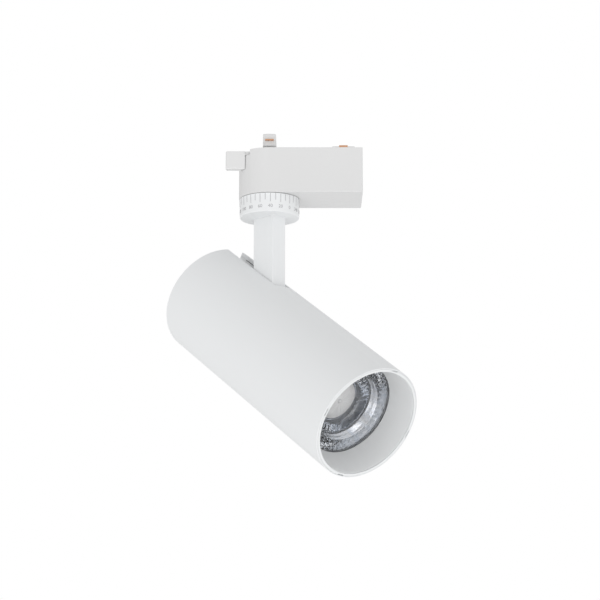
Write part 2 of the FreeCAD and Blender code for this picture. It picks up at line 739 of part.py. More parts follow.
def tie_posts():
    posts = []
    for y, z in tie_post_places():
        bar = rod_x(POST_R, CAP_FRONT_X, SINK_BASE_X, y, z)
        hole_end = CAP_FRONT_X + CAP_SCREW_LENGTH
        posts.append(bar.cut(rod_x(CAP_SCREW_R + FIXED_GAP, CAP_FRONT_X, hole_end, y, z)))
    return Part.makeCompound(posts)


def bracket_screw_places():
    return [(-BRACKET_SCREW_Y, BRACKET_SCREW_Z), (BRACKET_SCREW_Y, BRACKET_SCREW_Z)]


def pivot_bracket():
    """Folded channel behind the slot that carries the tilt pivot."""
    outer = SLOT_HALF_WIDTH + BRACKET_WALL
    low = -CHANNEL_DEPTH - BRACKET_WALL
    body = box(CAP_FRONT_X, BRACKET_FRONT_X, -outer, outer, low, BRACKET_TOP_Z)
    half = BRACKET_FLANGE_HALF
    body = body.fuse(
        box(CAP_FRONT_X, CAP_FRONT_X + BRACKET_FLANGE, -half, half, BRACKET_FLANGE_LOW, BRACKET_FLANGE_HIGH)
    )
    body = body.cut(
        box(CAP_FRONT_X - 1, BRACKET_FRONT_X + 1, -SLOT_HALF_WIDTH, SLOT_HALF_WIDTH, -CHANNEL_DEPTH, 60)
    )
    body = body.cut(rod_y(PIVOT_R + FIXED_GAP, -outer, outer))
    body = body.cut(post(GROMMET_R + FIXED_GAP, low, 0, GROMMET_X))
    for y, z in bracket_screw_places():
        body = body.cut(rod_x(CAP_SCREW_R + FIXED_GAP, CAP_FRONT_X, CAP_FRONT_X + BRACKET_FLANGE, y, z))
    return body.removeSplitter()


def bracket_screws():
    return cap_screws_at(bracket_screw_places(), CAP_THICK + 1)


def pivot_bolt():
    face = SLOT_HALF_WIDTH + BRACKET_WALL
    head = rod_y(PIVOT_HEAD_R, face, face + PIVOT_HEAD)
    body = head.fuse(rod_y(PIVOT_R, -face - PIVOT_NUT - 1, face))
    return body.cut(rod_y(2.0, face + 0.8, face + PIVOT_HEAD))


def pivot_nut():
    face = SLOT_HALF_WIDTH + BRACKET_WALL
    nut = hexagon(PIVOT_NUT_FLATS, face, face + PIVOT_NUT)
    nut = nut.cut(post(PIVOT_R + FIXED_GAP, face, face + PIVOT_NUT))
    nut.rotate(ORIGIN, FORWARD, 90)
    return nut


def friction_washers():
    rings = []
    outer_face = SLOT_HALF_WIDTH
    for y0 in (-outer_face, outer_face - FRICTION_THICK):
        ring_solid = rod_y(FRICTION_R, y0, y0 + FRICTION_THICK)
        rings.append(ring_solid.cut(rod_y(PIVOT_R + FIXED_GAP, y0, y0 + FRICTION_THICK)))
    return Part.makeCompound(rings)


def cable_grommet():
    top = -CHANNEL_DEPTH - 0.1
    low = -CHANNEL_DEPTH - BRACKET_WALL
    body = post(GROMMET_R, low, top, GROMMET_X)
    body = body.fuse(post(GROMMET_FLANGE_R, low - 1.2, low, GROMMET_X))
    return body.cut(post(GROMMET_BORE_R, low - 1.2, top, GROMMET_X))


def head_leads():
    """From the grommet down behind the tie posts and forward between the fins to the light source."""
    low = AXIS_Z - LEAD_LOW
    end_x = HOLDER_FRONT_X - 2
    route = [(GROMMET_X, -CHANNEL_DEPTH - 1), (GROMMET_X, low), (end_x, low), (end_x, AXIS_Z - HOLDER_R)]
    return pair_of_leads(route, LEAD_OFFSET, LEAD_BEND)


def heat_sink():
    body = disc(SINK_R, SINK_BASE_X, SINK_FRONT_X)
    for number in range(FIN_COUNT):
        y = (number - (FIN_COUNT - 1) / 2) * FIN_PITCH
        fin = box(SINK_REAR_X, SINK_BASE_X, y - FIN_HALF, y + FIN_HALF, AXIS_Z - TUBE_R, AXIS_Z + TUBE_R)
        body = body.fuse(fin.common(disc(FIN_R, SINK_REAR_X, SINK_BASE_X)))
    lead_hole = rod_x(LEAD_OFFSET + 2 * LEAD_R, SINK_BASE_X, SINK_FRONT_X, 0, AXIS_Z - LEAD_LOW)
    return body.cut(lead_hole).removeSplitter()


def led_board():
    low, high = AXIS_Z - LED_HALF, AXIS_Z + LED_HALF
    return box(SINK_FRONT_X, LED_FRONT_X, -LED_HALF, LED_HALF, low, high)


def led_emitter():
    return disc(EMITTER_R, LED_FRONT_X, LED_FRONT_X + EMITTER_THICK)


def led_holder():
    body = disc(HOLDER_R, SINK_FRONT_X, HOLDER_FRONT_X)
    body = body.cut(disc(HOLDER_BORE_R, SINK_FRONT_X, HOLDER_FRONT_X))
    half = LED_HALF + COVER_GAP
    body = body.cut(box(SINK_FRONT_X, LED_FRONT_X, -half, half, AXIS_Z - half, AXIS_Z + half))
    for y in (-HOLDER_SCREW_AT, HOLDER_SCREW_AT):
        body = body.cut(rod_x(CAP_SCREW_R + COVER_GAP, SINK_FRONT_X, HOLDER_FRONT_X, y, AXIS_Z))
        seat = HOLDER_FRONT_X - HOLDER_COUNTERBORE
        body = body.cut(rod_x(CAP_SCREW_HEAD_R + COVER_GAP, seat, HOLDER_FRONT_X, y, AXIS_Z))
    return body


def holder_screws():
    seat = HOLDER_FRONT_X - HOLDER_COUNTERBORE
    screws = []
    for y in (-HOLDER_SCREW_AT, HOLDER_SCREW_AT):
        shank = rod_x(CAP_SCREW_R, SINK_FRONT_X, seat, y, AXIS_Z)
        screws.append(shank.fuse(rod_x(CAP_SCREW_HEAD_R, seat, HOLDER_FRONT_X - 0.2, y, AXIS_Z)))
    return Part.makeCompound(screws)


def optic_housing():
    """Sleeve from the heat sink to the optic's flange."""
    inner = SINK_R - OPTIC_HOUSING_WALL
    rear = FRONT_X - SINK_FRONT_X
    front = LENS_FRONT + LENS_FLANGE + 2
    return turned([(front, inner), (front, SINK_R), (rear, SINK_R), (rear, inner)])


def lens_cone_radius(back):
    """Radius of the lens's sloping side at a distance back from the rim."""
    slope = (LENS_CONE_R - LENS_REAR_R) / (LENS_REAR - LENS_CONE_FRONT)
    return LENS_CONE_R - slope * (back - LENS_CONE_FRONT)


def reflector():
    flange_front = LENS_FRONT + LENS_FLANGE
    flange_back = flange_front + 2
    front_r = lens_cone_radius(flange_back) + REFLECTOR_GAP
    back_r = lens_cone_radius(REFLECTOR_BACK) + REFLECTOR_GAP
    outline = [
        (flange_front, front_r + REFLECTOR_GAP),
        (flange_front, CLAMP_R),
        (flange_back, CLAMP_R),
        (flange_back, front_r + REFLECTOR_WALL),
        (REFLECTOR_BACK, back_r + REFLECTOR_WALL),
        (REFLECTOR_BACK, back_r),
        (flange_back, front_r),
    ]
    return turned(outline)


def optic_lens():
    """Moulded lens: stepped front with a domed centre, sloping side, and a cavity over the emitter."""
    flange_back = LENS_FRONT + LENS_FLANGE
    outline = [
        (LENS_DOME_EDGE, 0),
        (LENS_DOME_EDGE, LENS_DOME_R),
        (LENS_INNER_RING, LENS_INNER_RING_R),
        (LENS_RECESS, LENS_RECESS_R),
        (LENS_STEP, LENS_STEP_R),
        (LENS_FRONT, CONE_BACK_R),
        (LENS_FRONT, LENS_FLANGE_R),
        (flange_back, LENS_FLANGE_R),
        (flange_back, LENS_CONE_R + 0.4),
        (LENS_CONE_FRONT, LENS_CONE_R),
        (LENS_REAR, LENS_REAR_R),
        (LENS_REAR, LENS_CAVITY_R),
        (LENS_CAVITY, LENS_CAVITY_R),
        (LENS_CAVITY - 1, 0),
    ]
    body = turned(outline)
    rise = LENS_DOME_EDGE - LENS_DOME_TOP
    sphere_r = (LENS_DOME_R**2 + rise**2) / (2 * rise)
    ball = Part.makeSphere(sphere_r, vec(FRONT_X - LENS_DOME_TOP - sphere_r, 0, AXIS_Z))
    dome = ball.common(disc(LENS_DOME_R, FRONT_X - LENS_DOME_EDGE, FRONT_X))
    return body.fuse(dome).removeSplitter()


def anti_glare_cone():
    slope = (BEZEL_INNER_R - CONE_BACK_R) / CONE_BACK
    front = BEZEL_FACE
    front_r = BEZEL_INNER_R - slope * front
    flange_front = CONE_BACK - CONE_WALL
    outline = [
        (front, front_r),
        (front, BEZEL_SKIRT_R - CAP_GAP),
        (BEZEL_SKIRT, BEZEL_SKIRT_R - CAP_GAP),
        (BEZEL_SKIRT, front_r + CONE_WALL - slope * BEZEL_SKIRT),
        (flange_front, CONE_BACK_R + CONE_WALL),
        (flange_front, CLAMP_R),
        (LENS_FRONT, CLAMP_R),
        (LENS_FRONT, CONE_BACK_R),
    ]
    return turned(outline)


def front_bezel():
    outline = [
        (0, BEZEL_INNER_R),
        (0, BEZEL_OUTER_R),
        (BEZEL_SKIRT, BEZEL_OUTER_R),
        (BEZEL_SKIRT, BEZEL_SKIRT_R),
        (BEZEL_FACE, BEZEL_SKIRT_R),
        (BEZEL_FACE, BEZEL_INNER_R),
    ]
    body = turned(outline)
    for number in range(NOTCH_COUNT):
        low = AXIS_Z + BEZEL_OUTER_R - NOTCH_DEPTH
        notch = box(FRONT_X - BEZEL_FACE + 0.2, FRONT_X + 1, -NOTCH_HALF, NOTCH_HALF, low, low + 3)
        notch.rotate(vec(0, 0, AXIS_Z), FORWARD, NOTCH_START + number * 360 / NOTCH_COUNT)
        body = body.cut(notch)
    return body


# ---------------------------------------------------------------- parts by body

ADAPTER_PARTS = {
    "adapter_housing": adapter_housing(),
    "adapter_cover": adapter_cover(),
    "cover_screws": cover_screws(),
    "guide_block": guide_block(),
    "ground_contact": ground_contact(),
    "contact_plate": contact_plate(),
    "driver_board": driver_board(),
    "board_screws": board_screws(),
    "transformer_core": transformer_core(),
    "transformer_coil": transformer_coil(),
    "driver_capacitors": driver_capacitors(),
    "terminal_block": terminal_block(),
    "supply_leads": supply_leads(),
    "output_leads": output_leads(),
    "swivel_bush": swivel_bush(),
    "thrust_washer": thrust_washer(),
    "stop_pin": stop_pin(),
}

LATCH_PARTS = {
    "lock_lever": lock_lever(),
    "lock_rotor": lock_rotor(),
    "contact_blades": contact_blades(),
    "rotor_clip": rotor_clip(),
}

SWIVEL_PARTS = {
    "dial": dial(),
    "dial_screws": dial_screws(),
    "swivel_spigot": swivel_spigot(),
    "swivel_nut": swivel_nut(),
    "wave_washer": wave_washer(),
    "stem": stem(),
    "stem_leads": stem_leads(),
}

HEAD_PARTS = {
    "head_tube": head_tube(),
    "rear_cap": rear_cap(),
    "rear_cap_screws": rear_cap_screws(),
    "tube_grub_screws": tube_grub_screws(),
    "tie_posts": tie_posts(),
    "pivot_bracket": pivot_bracket(),
    "bracket_screws": bracket_screws(),
    "pivot_bolt": pivot_bolt(),
    "pivot_nut": pivot_nut(),
    "friction_washers": friction_washers(),
    "cable_grommet": cable_grommet(),
    "head_leads": head_leads(),
    "heat_sink": heat_sink(),
    "led_board": led_board(),
    "led_emitter": led_emitter(),
    "led_holder": led_holder(),
    "holder_screws": holder_screws(),
    "optic_housing": optic_housing(),
    "reflector": reflector(),
    "optic_lens": optic_lens(),
    "anti_glare_cone": anti_glare_cone(),
    "front_bezel": front_bezel(),
}


def export(name, shape):
    print(name, "solids", len(shape.Solids), "valid", shape.isValid(), "mm3", round(shape.Volume, 1))
    shape.exportStep("parts/" + name + ".step")


os.makedirs("parts", exist_ok=True)
for name, shape in {**ADAPTER_PARTS, **LATCH_PARTS}.items():
    export(name, shape)
for name, shape in SWIVEL_PARTS.items():
    shape.rotate(ORIGIN, UP, AZIMUTH)
    export(name, shape)
for name, shape in HEAD_PARTS.items():
    shape.rotate(ORIGIN, ACROSS, TILT)
    shape.translate(vec(0, 0, PIVOT_Z))
    shape.rotate(ORIGIN, UP, AZIMUTH)
    export(name, shape)
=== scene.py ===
import json
import math
import random
from collections import namedtuple

import bpy
from mathutils import Matrix, Vector


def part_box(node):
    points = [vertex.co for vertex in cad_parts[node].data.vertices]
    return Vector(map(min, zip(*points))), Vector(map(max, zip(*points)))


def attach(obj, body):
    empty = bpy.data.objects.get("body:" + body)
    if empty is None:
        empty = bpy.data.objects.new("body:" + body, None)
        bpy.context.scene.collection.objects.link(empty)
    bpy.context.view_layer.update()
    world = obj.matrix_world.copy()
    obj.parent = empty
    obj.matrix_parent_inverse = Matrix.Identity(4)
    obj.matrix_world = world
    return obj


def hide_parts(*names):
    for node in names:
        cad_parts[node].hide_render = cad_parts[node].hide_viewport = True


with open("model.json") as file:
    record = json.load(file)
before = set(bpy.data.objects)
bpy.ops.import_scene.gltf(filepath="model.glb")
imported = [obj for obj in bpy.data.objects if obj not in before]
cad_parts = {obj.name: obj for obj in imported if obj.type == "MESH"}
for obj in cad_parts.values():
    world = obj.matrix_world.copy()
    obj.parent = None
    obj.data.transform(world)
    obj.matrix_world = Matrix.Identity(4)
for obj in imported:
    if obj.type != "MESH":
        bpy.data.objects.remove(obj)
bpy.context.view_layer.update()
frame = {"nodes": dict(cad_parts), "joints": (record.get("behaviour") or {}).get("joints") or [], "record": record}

MM = 0.001

# Dial, sized as in the CAD, and its printed scale, with steps in degrees
DIAL_TOP = -32.6 * MM
DIAL_BOTTOM = -45.8 * MM
DIAL_TOP_R = 21.1 * MM
DIAL_BOTTOM_R = 20.8 * MM
PRINT_THICK = 0.07 * MM
TICK_STEP = 10
NUMERAL_STEP = 20
LONG_TICK = 6.0 * MM
SHORT_TICK = 4.6 * MM
TICK_WIDTH = 0.32 * MM
TICK_GAP = 0.35 * MM
NUMERAL_HEIGHT = 2.4 * MM
NUMERAL_TOP = 7.9 * MM
FONT_CAP_SHARE = 0.73

# Lens: radii, and distances back from the front rim
BEZEL_DEPTH = 3.2 * MM
LENS_FRONT = 20.5 * MM
LENS_OUTER_R = 32.4 * MM
LENS_FLANGE_R = 35.9 * MM
LENS_FLANGE_BACK = 21.9 * MM
LENS_STEP = 21.6 * MM
LENS_STEP_R = 23.5 * MM
LENS_RECESS = 30.0 * MM
LENS_RECESS_R = 23.1 * MM
LENS_INNER = 31.2 * MM
LENS_INNER_R = 17.0 * MM
DOME_EDGE = 34.6 * MM
DOME_R = 14.4 * MM
DOME_TOP = 31.6 * MM
NUB_R = 1.2 * MM
NUB_HEIGHT = 0.45 * NUB_R
LENS_SIDE_R = 31.4 * MM
LENS_SIDE = 24.0 * MM
LENS_REAR = 61.9 * MM
LENS_REAR_R = 8.8 * MM
CAVITY_R = 5.8 * MM
CAVITY_TOP = 51.0 * MM
CAVITY_POINT = CAVITY_TOP - 1 * MM
# Narrow bands where faces of the lens meet, coloured dark as painted shade
SEAM_WIDTH = 0.7 * MM
SEAM_DROP = 0.3 * MM
OUTER_RIDGES = 48
OUTER_RIDGE_HEIGHT = 0.55 * MM
INNER_RIDGES = 36
INNER_RIDGE_HEIGHT = 0.7 * MM
DOME_RIDGES = 72
DOME_RIDGE_HEIGHT = 0.2 * MM
NUB_STEPS = 5
DOME_STEPS = 14
LENS_SEGMENTS = 288
FACET_SEED = 11
ACRYLIC_IOR = 1.49

# Camera (pitch in degrees, lens in millimetres), floor and surroundings
CAMERA_AT = Vector((0.0214, -1.3392, -0.406))
CAMERA_PITCH = 12.7
CAMERA_LENS = 118.5
CAMERA_REACH = 50.0
FLOOR_Z = -1.2
FLOOR_HALF = 40.0
SKY_BRIGHT_WAY = (0.3, -0.35, -0.88)
SKY_DIMMEST = 0.84
SKY_BRIGHTEST = 1.39


# ---------------------------------------------------------------- where things are


def middle(node):
    low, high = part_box(node)
    return (low + high) / 2


def joint(name):
    return next(j for j in frame["joints"] if j["name"] == name)


def head_directions():
    """Matrix to the frame from the head's own directions (across, up, forward) at its front rim's centre."""
    across = Vector(joint("head_tilt")["axis"]).normalized()
    forward = (middle("front_bezel") - middle("led_emitter")).normalized()
    up = forward.cross(across)
    rim = middle("front_bezel") + forward * (BEZEL_DEPTH / 2)
    turn = Matrix((across, up, forward)).transposed().to_4x4()
    return Matrix.Translation(rim) @ turn


HEAD = head_directions()


def head_azimuth():
    """Degrees from +X to the way that the head points, seen from above."""
    forward = HEAD.to_3x3() @ Vector((0, 0, 1))
    return math.degrees(math.atan2(forward.y, forward.x))


def new_piece(name, points, faces, placement=None):
    mesh = bpy.data.meshes.new(name)
    mesh.from_pydata(points, [], faces)
    if placement is not None:
        mesh.transform(placement)
    mesh.validate()
    mesh.update()
    piece = bpy.data.objects.new(name, mesh)
    bpy.context.scene.collection.objects.link(piece)
    return piece


# ---------------------------------------------------------------- materials


class Surface:
    """Short-hand for building one material from nodes."""

    def __init__(self, name, **constants):
        self.material = bpy.data.materials.new(name)
        self.material.use_nodes = True
        self.tree = self.material.node_tree
        self.shader = self.tree.nodes["Principled BSDF"]
        self.place = self.add("ShaderNodeTexCoord").outputs["Object"]
        for socket, value in constants.items():
            self.shader.inputs[socket.replace("_", " ")].default_value = value

    def add(self, kind, **settings):
        node = self.tree.nodes.new(kind)
        for key, value in settings.items():
            setattr(node, key, value)
        return node

    def link(self, source, target):
        self.tree.links.new(source, target)

    def noise(self, scale, detail=2.0, stretch=None, place=None):
        """Noise over the surface, where stretch scales the three directions."""
        node = self.add("ShaderNodeTexNoise")
        node.inputs["Scale"].default_value = scale
        node.inputs["Detail"].default_value = detail
        source = place or self.place
        if stretch:
            mapping = self.add("ShaderNodeMapping")
            mapping.inputs["Scale"].default_value = stretch
            self.link(source, mapping.inputs["Vector"])
            source = mapping.outputs["Vector"]
        self.link(source, node.inputs["Vector"])
        return node.outputs["Fac"]

    def spread(self, value, low=0.0, high=1.0, start=0.3, end=0.7):
        """Map a value from start..end to low..high."""
        node = self.add("ShaderNodeMapRange")
        node.inputs["From Min"].default_value = start
        node.inputs["From Max"].default_value = end
        node.inputs["To Min"].default_value = low
        node.inputs["To Max"].default_value = high
        self.link(value, node.inputs["Value"])
        return node.outputs["Result"]

    def blend(self, factor, first, second):
        """Mix of two colours, given as numbers or as another node's output."""
        node = self.add("ShaderNodeMix", data_type="RGBA")
        self.link(factor, node.inputs["Factor"])
        for socket, colour in ((node.inputs["A"], first), (node.inputs["B"], second)):
            if isinstance(colour, tuple):
                socket.default_value = (*colour, 1.0)
            else:
                self.link(colour, socket)
        return node.outputs["Result"]

    def edge(self):
        """One on convex edges, nought on flats."""
        geometry = self.add("ShaderNodeNewGeometry")
        return self.spread(geometry.outputs["Pointiness"], start=0.52, end=0.62)

    def bump(self, value, distance, strength, under=None):
        """Relief on the shader's normal, on top of another bump when one is given."""
        node = self.add("ShaderNodeBump")
        node.inputs["Strength"].default_value = strength
        node.inputs["Distance"].default_value = distance
        self.link(value, node.inputs["Height"])
        if under:
            self.link(under, node.inputs["Normal"])
        self.link(node.outputs["Normal"], self.shader.inputs["Normal"])
        return node.outputs["Normal"]

    def colour(self, value):
        self.link(value, self.shader.inputs["Base Color"])

    def mottle(self, pattern, first, second):
        """Colour that drifts between two tones with a noise pattern."""
        self.colour(self.blend(self.spread(pattern), first, second))

    def roughness(self, value):
        self.link(value, self.shader.inputs["Roughness"])


def tone(colour, factor):
    return tuple(c * factor for c in colour)


def painted(name, colour, rough, peel_scale=900.0, peel_depth=0.02 * MM):
    """Powder coat: faint orange peel, a slow drift in shade, and slightly polished edges."""
    s = Surface(name, Coat_Weight=0.08, Coat_Roughness=0.35)
    drift = s.spread(s.noise(14.0, 3.0))
    body = s.blend(drift, tone(colour, 0.985), colour)
    s.colour(s.blend(s.edge(), body, tone(colour, 1.03)))
    s.roughness(s.spread(s.noise(220.0), rough - 0.05, rough + 0.05))
    peel = s.bump(s.noise(peel_scale), peel_depth, 0.5)
    s.bump(s.noise(peel_scale * 4, 1.0), peel_depth * 0.3, 0.35, peel)
    return s.material


def moulded(name, colour, rough):
    """Moulded plastic: spark-eroded grain, faint flow marks and soft edge wear."""
    s = Surface(name)
    flow = s.spread(s.noise(30.0, 4.0, (1.0, 1.0, 0.35)))
    body = s.blend(flow, tone(colour, 0.98), colour)
    s.colour(s.blend(s.edge(), body, tone(colour, 1.04)))
    s.roughness(s.spread(s.noise(300.0, 3.0), rough - 0.06, rough + 0.06))
    s.bump(s.noise(2600.0), 0.012 * MM, 0.5)
    return s.material


def metal(name, colour, rough, stretch=(1.0, 1.0, 12.0)):
    """Bare metal with a drawn or turned grain."""
    s = Surface(name, Metallic=1.0)
    lines = s.noise(400.0, 3.0, stretch)
    s.mottle(lines, tone(colour, 0.85), colour)
    s.roughness(s.spread(s.noise(90.0, 3.0), rough - 0.08, rough + 0.1))
    s.bump(lines, 0.01 * MM, 0.4)
    return s.material


def rubbery(name, colour, rough):
    """Rubber or wire sleeve: slight bloom and fine grain."""
    s = Surface(name)
    s.mottle(s.noise(160.0, 4.0), colour, tuple(c * 0.8 + 0.03 for c in colour))
    s.roughness(s.spread(s.noise(500.0), rough - 0.08, rough + 0.08))
    s.bump(s.noise(1800.0), 0.01 * MM, 0.4)
    return s.material


def circuit_board():
    """Green solder mask over darker copper runs."""
    s = Surface("circuit_board", Roughness=0.35, Coat_Weight=0.4)
    cells = s.add("ShaderNodeTexVoronoi", feature="DISTANCE_TO_EDGE")
    cells.inputs["Scale"].default_value = 260.0
    s.link(s.place, cells.inputs["Vector"])
    runs = s.spread(cells.outputs["Distance"], 1.0, 0.0, 0.02, 0.08)
    s.colour(s.blend(runs, (0.02, 0.13, 0.06), (0.05, 0.24, 0.1)))
    s.bump(runs, 0.03 * MM, 0.5)
    return s.material


def phosphor():
    """Silicone dome over yellow phosphor."""
    s = Surface("phosphor", Coat_Weight=0.6, Coat_Roughness=0.1)
    s.mottle(s.noise(900.0, 3.0), (0.86, 0.74, 0.36), (0.95, 0.86, 0.5))
    s.roughness(s.spread(s.noise(400.0), 0.3, 0.45))
    s.bump(s.noise(700.0), 0.02 * MM, 0.4)
    return s.material


def printed_ink():
    """Grey pad print with slightly uneven cover."""
    s = Surface("printed_ink")
    s.mottle(s.noise(2500.0, 3.0), (0.34, 0.34, 0.35), (0.46, 0.46, 0.47))
    s.roughness(s.spread(s.noise(900.0), 0.45, 0.6))
    s.bump(s.noise(4000.0), 0.01 * MM, 0.3)
    return s.material


def lens_place(s):
    """The lens's own map: how far round it, and how far along its profile, from nought to one."""
    uv = s.add("ShaderNodeUVMap")
    uv.uv_map = "profile"
    return uv.outputs["UV"]


def clear_acrylic(name, clear_share, tints, rough, streaks, ripple):
    """Moulded acrylic, with so many streaks in a turn, and ripples of a given depth along them."""
    s = Surface(name, Transmission_Weight=clear_share, IOR=ACRYLIC_IOR)
    place = lens_place(s)
    # Streaked colour: flow lines, and in the faceted rings and side, blue patches as a painted reflection of cold
    # light.
    s.mottle(s.noise(1.0, stretch=(streaks, 4.0, 1.0), place=place), *tints)
    s.roughness(s.spread(s.noise(1.0, stretch=(streaks / 2, 6.0, 1.0), place=place), *rough))
    s.bump(s.noise(1.0, stretch=(streaks * 1.5, 6.0, 1.0), place=place), ripple, 0.6)
    return s.material


def lens_facets():
    """The front's two faceted rings, tinted blue in streaks as a painted reflection of cold light."""
    tints = ((0.82, 0.88, 0.97), (1.0, 1.0, 1.0))
    return clear_acrylic("lens_facets", 1.0, tints, rough=(0.005, 0.03), streaks=160.0, ripple=0.12 * MM)


def lens_side():
    """The polished rear cone, whose reflection makes the bright and dark patterns seen from the front; its blue
    streaks are a painted reflection of cold light.
    """
    tints = ((0.84, 0.9, 1.0), (1.0, 1.0, 1.0))
    return clear_acrylic("lens_side", 1.0, tints, rough=(0.005, 0.03), streaks=90.0, ripple=0.06 * MM)


def lens_wall():
    """The plain walls between the rings, the flange and the cavity."""
    tints = ((0.9, 0.9, 0.91), (0.98, 0.98, 0.98))
    return clear_acrylic("lens_wall", 0.93, tints, rough=(0.02, 0.08), streaks=80.0, ripple=0.03 * MM)


def lens_dome():
    """The milky centre."""
    tints = ((0.6, 0.6, 0.6), (0.95, 0.95, 0.95))
    return clear_acrylic("lens_dome", 0.15, tints, rough=(0.02, 0.08), streaks=300.0, ripple=0.12 * MM)


def lens_seam():
    """Painted shade: a dark line where two faces of the clear optic meet."""
    s = Surface("lens_seam", IOR=ACRYLIC_IOR, Coat_Weight=0.5)
    s.mottle(s.noise(300.0), (0.08, 0.085, 0.095), (0.22, 0.23, 0.25))
    s.roughness(s.spread(s.noise(500.0), 0.2, 0.4))
    s.bump(s.noise(800.0), 0.02 * MM, 0.3)
    return s.material


def mirror_coat():
    """Vacuum-metallised plastic, a little milky."""
    s = Surface("mirror_coat", Metallic=0.7)
    s.mottle(s.noise(60.0, 3.0), (0.88, 0.89, 0.9), (0.95, 0.95, 0.96))
    s.roughness(s.spread(s.noise(120.0), 0.1, 0.22))
    s.bump(s.noise(300.0), 0.02 * MM, 0.3)
    return s.material


def slot_materials():
    """One material for each slot of the record."""
    rim_white = (0.77, 0.785, 0.79)
    return {
        "white_plastic": moulded("white_plastic", (0.73, 0.73, 0.73), 0.42),
        "white_metal": painted("white_metal", (0.808, 0.82, 0.828), 0.5),
        "white_rim": painted("white_rim", rim_white, 0.38, peel_scale=1200.0, peel_depth=0.01 * MM),
        "bare_aluminium": metal("bare_aluminium", (0.62, 0.63, 0.64), 0.38),
        "steel": metal("steel", (0.55, 0.55, 0.56), 0.3, (8.0, 8.0, 8.0)),
        "copper": metal("copper", (0.72, 0.4, 0.24), 0.28),
        "brass_bush": metal("brass_bush", (0.7, 0.53, 0.25), 0.3, (6.0, 6.0, 6.0)),
        "circuit_board": circuit_board(),
        "dark_plastic": moulded("dark_plastic", (0.03, 0.03, 0.032), 0.5),
        "ferrite": moulded("ferrite", (0.05, 0.05, 0.055), 0.6),
        "coil_tape": rubbery("coil_tape", (0.72, 0.53, 0.1), 0.35),
        "lead_insulation": rubbery("lead_insulation", (0.6, 0.05, 0.04), 0.45),
        "grommet_rubber": rubbery("grommet_rubber", (0.02, 0.02, 0.02), 0.6),
        "led_substrate": moulded("led_substrate", (0.8, 0.8, 0.78), 0.4),
        "phosphor": phosphor(),
        "mirror_coat": mirror_coat(),
        "lens_clear": lens_wall(),
    }


def dress_cad_nodes(materials):
    """Give every CAD node its slot's material, but the dial a paler, bluish moulding, paler by painted light, and
    the cone a duller coat, darker by painted shade inside the snoot.
    """
    for part in frame["record"]["subparts"]:
        node = frame["nodes"][part["node"]]
        node.data.materials.clear()
        node.data.materials.append(materials[part["material_slot"]])
    # A darker copy of the white coat: painted shade inside the snoot.
    cone_painted_shade = painted("cone_painted_shade", (0.77, 0.78, 0.785), 0.6)
    # Bluish like the head's coat and paler than it: the extra paleness is painted light.
    dial_plastic_painted_light = moulded("dial_plastic_painted_light", (0.838, 0.85, 0.858), 0.42)
    frame["nodes"]["anti_glare_cone"].data.materials[0] = cone_painted_shade
    frame["nodes"]["dial"].data.materials[0] = dial_plastic_painted_light


# ---------------------------------------------------------------- dial scale


def dial_point(azimuth, z, lift):
    """A point on the dial's sloping side, lifted off it."""
    share = (z - DIAL_BOTTOM) / (DIAL_TOP - DIAL_BOTTOM)
    radius = DIAL_BOTTOM_R + (DIAL_TOP_R - DIAL_BOTTOM_R) * share + lift
    return Vector((radius * math.cos(azimuth), radius * math.sin(azimuth), z))


def add_tick(points, faces, azimuth, length):
    """A thin raised bar that follows the dial's curve."""
    half = TICK_WIDTH / 2 / DIAL_TOP_R
    top = DIAL_TOP - TICK_GAP
    first = len(points)
    for lift in (-PRINT_THICK, PRINT_THICK):
        for z in (top, top - length):
            for side in (-half, half):
                points.append(dial_point(azimuth + side, z, lift))
    corners = ((0, 1, 3, 2), (4, 6, 7, 5), (0, 4, 5, 1), (2, 3, 7, 6), (0, 2, 6, 4), (1, 5, 7, 3))
    faces.extend(tuple(first + c for c in face) for face in corners)


def numeral_mesh(text):
    """Raised digits, centred across, with their base line at nought."""
    curve = bpy.data.curves.new("numeral", "FONT")
    curve.body = text
    curve.size = NUMERAL_HEIGHT / FONT_CAP_SHARE
    curve.align_x = "CENTER"
    curve.extrude = PRINT_THICK
    curve.resolution_u = 3
    holder = bpy.data.objects.new("numeral", curve)
    bpy.context.scene.collection.objects.link(holder)
    bpy.context.view_layer.update()
    shaped = holder.evaluated_get(bpy.context.evaluated_depsgraph_get())
    mesh = bpy.data.meshes.new_from_object(shaped)
    bpy.data.objects.remove(holder)
    bpy.data.curves.remove(curve)
    return mesh


def add_numeral(points, faces, azimuth, text):
    """Digits wrapped round the dial, upright, below their long tick."""
    mesh = numeral_mesh(text)
    first = len(points)
    base = DIAL_TOP - NUMERAL_TOP - NUMERAL_HEIGHT
    for vertex in mesh.vertices:
        x, y, z = vertex.co
        points.append(dial_point(azimuth + x / DIAL_TOP_R, base + y, z))
    for polygon in mesh.polygons:
        faces.append(tuple(first + v for v in polygon.vertices))
    bpy.data.meshes.remove(mesh)


def dial_scale(ink):
    """Degree marks, with nought where the head points and figures rising clockwise from above."""
    points, faces = [], []
    start = head_azimuth()
    for degrees in range(0, 360, TICK_STEP):
        azimuth = math.radians(start - degrees)
        numbered = degrees % NUMERAL_STEP == 0
        add_tick(points, faces, azimuth, LONG_TICK if numbered else SHORT_TICK)
        if numbered:
            add_numeral(points, faces, azimuth, str(degrees))
    piece = new_piece("dial_scale", points, faces)
    piece.data.materials.append(ink)
    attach(piece, "swivel")


# ---------------------------------------------------------------- lens

# SEAM faces carry the dark lines painted as shade where faces of the lens meet.
FACETS, WALL, DOME, SEAM, SIDE = range(5)

Row = namedtuple("Row", "back radius kind share ridges height", defaults=(0.0, 0, 0.0))


